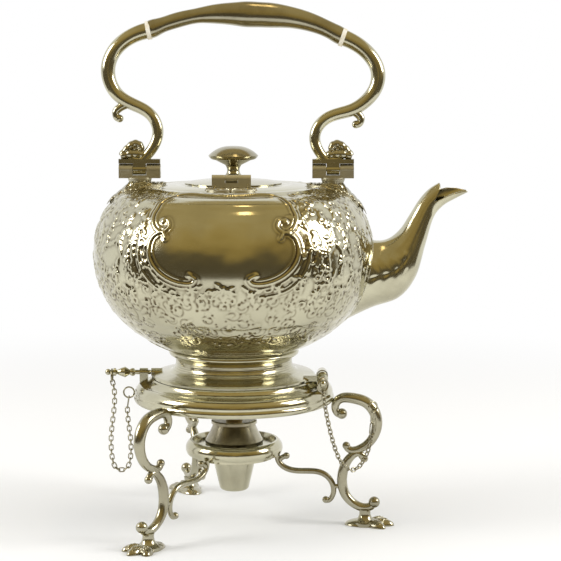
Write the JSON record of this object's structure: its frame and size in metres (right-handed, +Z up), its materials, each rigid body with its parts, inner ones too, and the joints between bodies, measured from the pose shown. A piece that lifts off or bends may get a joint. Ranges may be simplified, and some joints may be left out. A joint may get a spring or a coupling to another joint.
{
  "type": "spirit kettle on stand",
  "caption": "Chased silver spirit kettle with a hinged lid and swing handle, tilting on a scroll-legged lampstand with a spirit burner and pins on chains.",
  "frame": {"origin": "on the kettle's axis, at the table under the feet", "axes": "+X towards the spout, +Z up, the side seen in the picture faces -Y"},
  "size_m": [0.2715, 0.2104, 0.3812],
  "materials": {
    "silver": "polished silver with a warm tarnish in the chasing",
    "ivory": "polished ivory-coloured insulator",
    "brass": "dull, smoke-darkened",
    "wick": "woven cotton, charred at the top"
  },
  "bodies": {
    "stand": {"stand_rim": "silver", "burner_ring": "silver", "front_leg": "silver", "right_leg": "silver", "rear_leg": "silver", "front_foot": "silver", "right_foot": "silver", "rear_foot": "silver", "front_burner_arm": "silver", "right_burner_arm": "silver", "rear_burner_arm": "silver", "left_chain_ring": "silver", "right_chain_ring": "silver"},
    "kettle": {"kettle_body": "silver", "kettle_foot": "silver", "spout": "silver", "lid_hinge_body_leaf": "silver", "lid_hinge_pin": "silver", "left_handle_bracket": "silver", "right_handle_bracket": "silver", "left_handle_pin": "silver", "right_handle_pin": "silver"},
    "lid": {"lid": "silver", "lid_knob": "silver", "lid_knob_nut": "silver", "lid_hinge_lid_leaf": "silver"},
    "handle": {"left_handle_arm": "silver", "right_handle_arm": "silver", "handle_grip": "silver", "left_ivory_ring": "ivory", "right_ivory_ring": "ivory", "handle_rivets": "silver"},
    "lamp": {"lamp_reservoir": "silver", "burner_dome": "silver", "wick_tube": "brass", "wick": "wick"},
    "lock_pin": {"lock_pin": "silver", "lock_pin_ring": "silver"},
    "hinge_pin": {"hinge_pin": "silver", "hinge_pin_ring": "silver"},
    "left_pin_strand": {"left_chain_pin_strand": "silver"},
    "left_stand_strand": {"left_chain_stand_strand": "silver"},
    "right_pin_strand": {"right_chain_pin_strand": "silver"},
    "right_stand_strand": {"right_chain_stand_strand": "silver"}
  },
  "joints": [
    {"name": "kettle_tilt", "type": "hinge", "parent": "stand", "child": "kettle", "pos_m": [0.0645, -0.02, 0.1136], "axis": [0, 1, 0], "range_deg": [0, 35]},
    {"name": "lid_open", "type": "hinge", "parent": "kettle", "child": "lid", "pos_m": [0, -0.0387, 0.2571], "axis": [1, 0, 0], "range_deg": [0, 100]},
    {"name": "handle_swing", "type": "hinge", "parent": "kettle", "child": "handle", "pos_m": [0, 0, 0.261], "axis": [-1, 0, 0], "range_deg": [-80, 80]},
    {"name": "lamp_lift", "type": "slide", "parent": "stand", "child": "lamp", "axis": [0, 0, 1], "range_m": [0, 0.03]},
    {"name": "lock_pin_slide", "type": "slide", "parent": "stand", "child": "lock_pin", "axis": [-1, 0, 0], "range_m": [-0.003, 0.012]},
    {"name": "hinge_pin_slide", "type": "slide", "parent": "stand", "child": "hinge_pin", "axis": [0, -1, 0], "range_m": [0, 0.014]},
    {"name": "left_pin_strand_swing", "type": "hinge", "parent": "lock_pin", "child": "left_pin_strand", "pos_m": [-0.08975, 0, 0.1055], "axis": [0, 1, 0], "range_deg": [-6.3, 1.7]},
    {"name": "left_stand_strand_swing", "type": "hinge", "parent": "stand", "child": "left_stand_strand", "pos_m": [-0.0774, 0, 0.0934], "axis": [0, 1, 0], "range_deg": [-1.5, 5.4]},
    {"name": "right_pin_strand_swing", "type": "hinge", "parent": "hinge_pin", "child": "right_pin_strand", "pos_m": [0.0645, -0.04865, 0.1073], "axis": [1, 0, 0], "range_deg": [0, 7.4]},
    {"name": "right_stand_strand_swing", "type": "hinge", "parent": "stand", "child": "right_stand_strand", "pos_m": [0.10126, -0.0211, 0.0868], "axis": [1, 0, 0], "range_deg": [-9.7, 0]}
  ],
  "couplings": [
    {"joint": "left_pin_strand_swing", "follows": "lock_pin_slide", "rad_per_m": -8.844},
    {"joint": "left_stand_strand_swing", "follows": "lock_pin_slide", "rad_per_m": 7.501},
    {"joint": "right_pin_strand_swing", "follows": "hinge_pin_slide", "rad_per_m": 8.889},
    {"joint": "right_stand_strand_swing", "follows": "hinge_pin_slide", "rad_per_m": -11.782}
  ]
}
